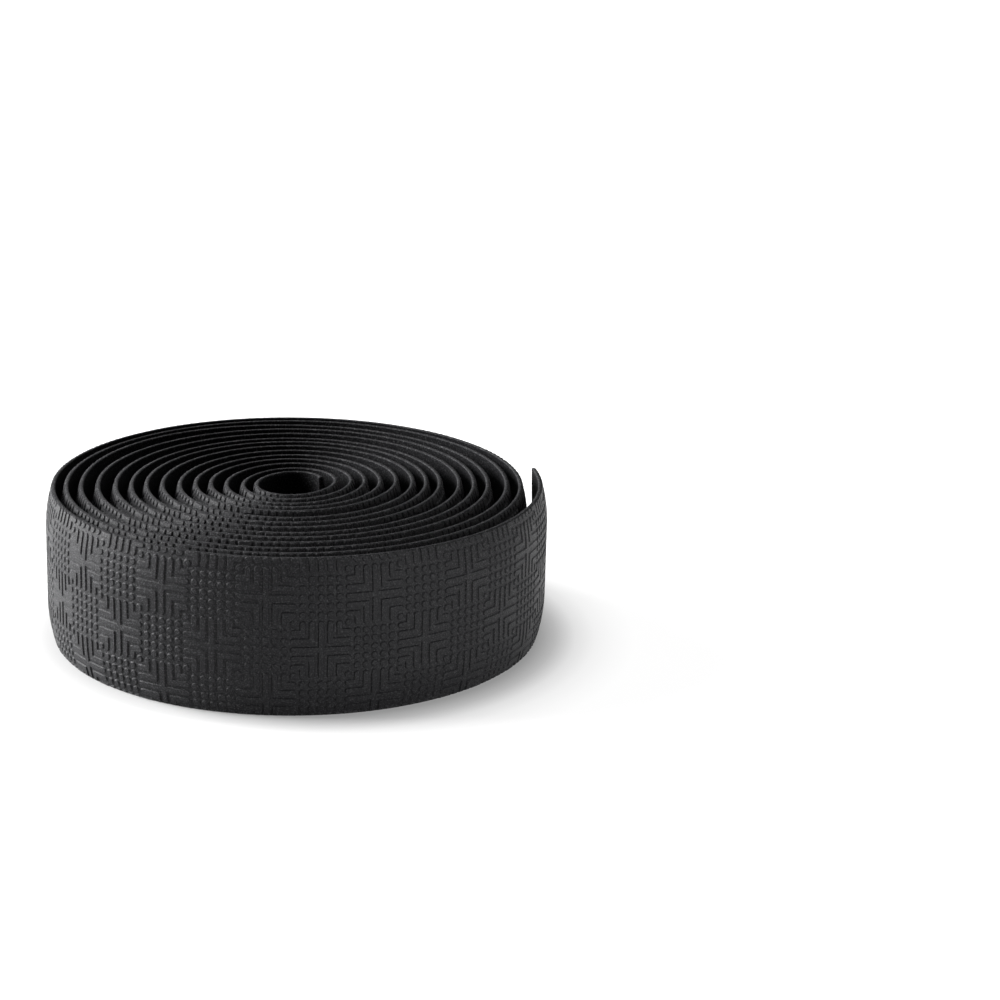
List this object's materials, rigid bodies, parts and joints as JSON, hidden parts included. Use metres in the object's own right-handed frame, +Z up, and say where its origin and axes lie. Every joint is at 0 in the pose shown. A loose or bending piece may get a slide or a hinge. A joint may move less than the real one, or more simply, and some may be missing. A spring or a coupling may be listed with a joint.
{
  "type": "handlebar tape roll",
  "caption": "Roll of padded, embossed handlebar tape, wound edge-up into a loose spiral around an open core and lying flat.",
  "frame": {"origin": "middle of the roll's bounding box, on the surface that the roll lies on", "axes": "+Z up along the axis of the roll, -Y towards the front, +X towards the free outer end of the tape"},
  "size_m": [0.097, 0.0954, 0.03],
  "materials": {
    "tape": "matt black foam tape with a finely grained, embossed outer face and a plain, velvety back"
  },
  "bodies": {
    "root": {"bar_tape": "tape"}
  },
  "joints": []
}
